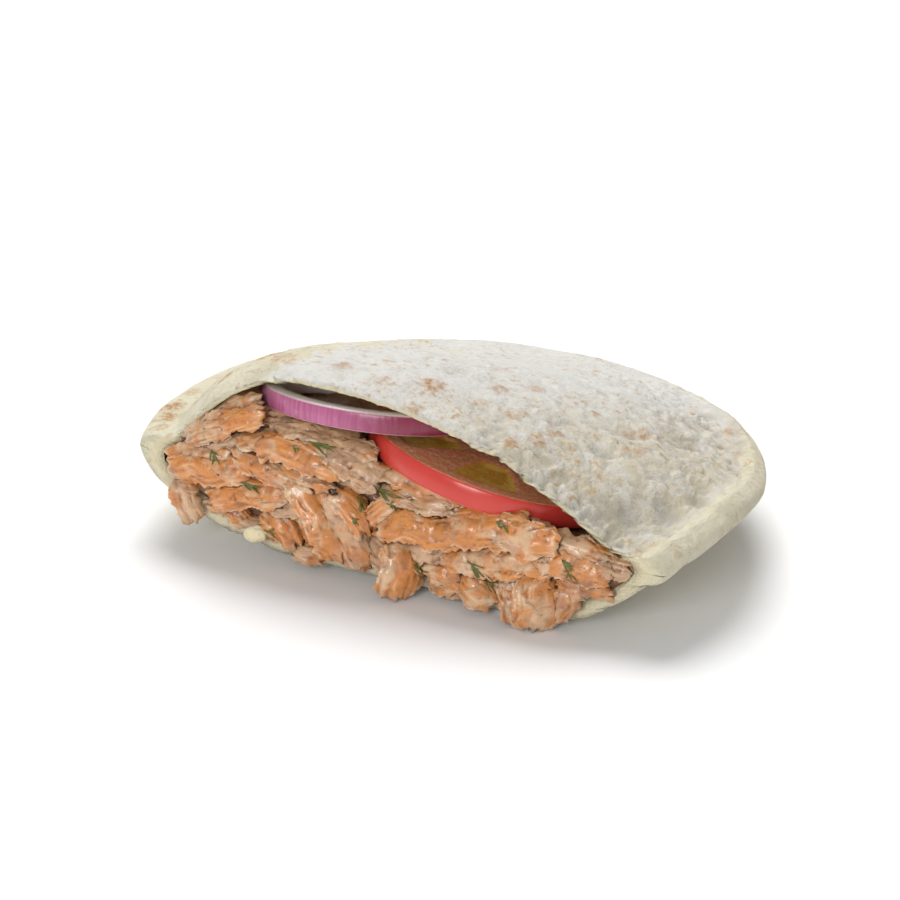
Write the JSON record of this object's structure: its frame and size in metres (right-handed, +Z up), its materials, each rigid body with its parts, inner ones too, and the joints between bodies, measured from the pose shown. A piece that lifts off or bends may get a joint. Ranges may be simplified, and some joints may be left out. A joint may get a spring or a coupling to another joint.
{
  "type": "filled pita pocket sandwich",
  "caption": "Round flat bread cut along a chord and opened as a pocket, packed with sliced meat, a tomato slice and an onion ring.",
  "frame": {"origin": "middle of the underside of the bounding box, on the surface it lies on", "axes": "+X along the mouth of the pocket, left to right seen from the mouth; +Y from the mouth into the pocket; +Z up"},
  "size_m": [0.156, 0.1202, 0.0512],
  "materials": {
    "bread": "floury flat bread, matte",
    "meat": "grilled sliced meat, moist",
    "tomato": "wet tomato skin and flesh",
    "onion": "red onion, smooth skin",
    "garlic": "pale cooked garlic, moist"
  },
  "bodies": {
    "root": {"pita": "bread", "meat_filling": "meat", "tomato_slice": "tomato", "onion_ring": "onion", "garlic_piece": "garlic"}
  },
  "joints": []
}
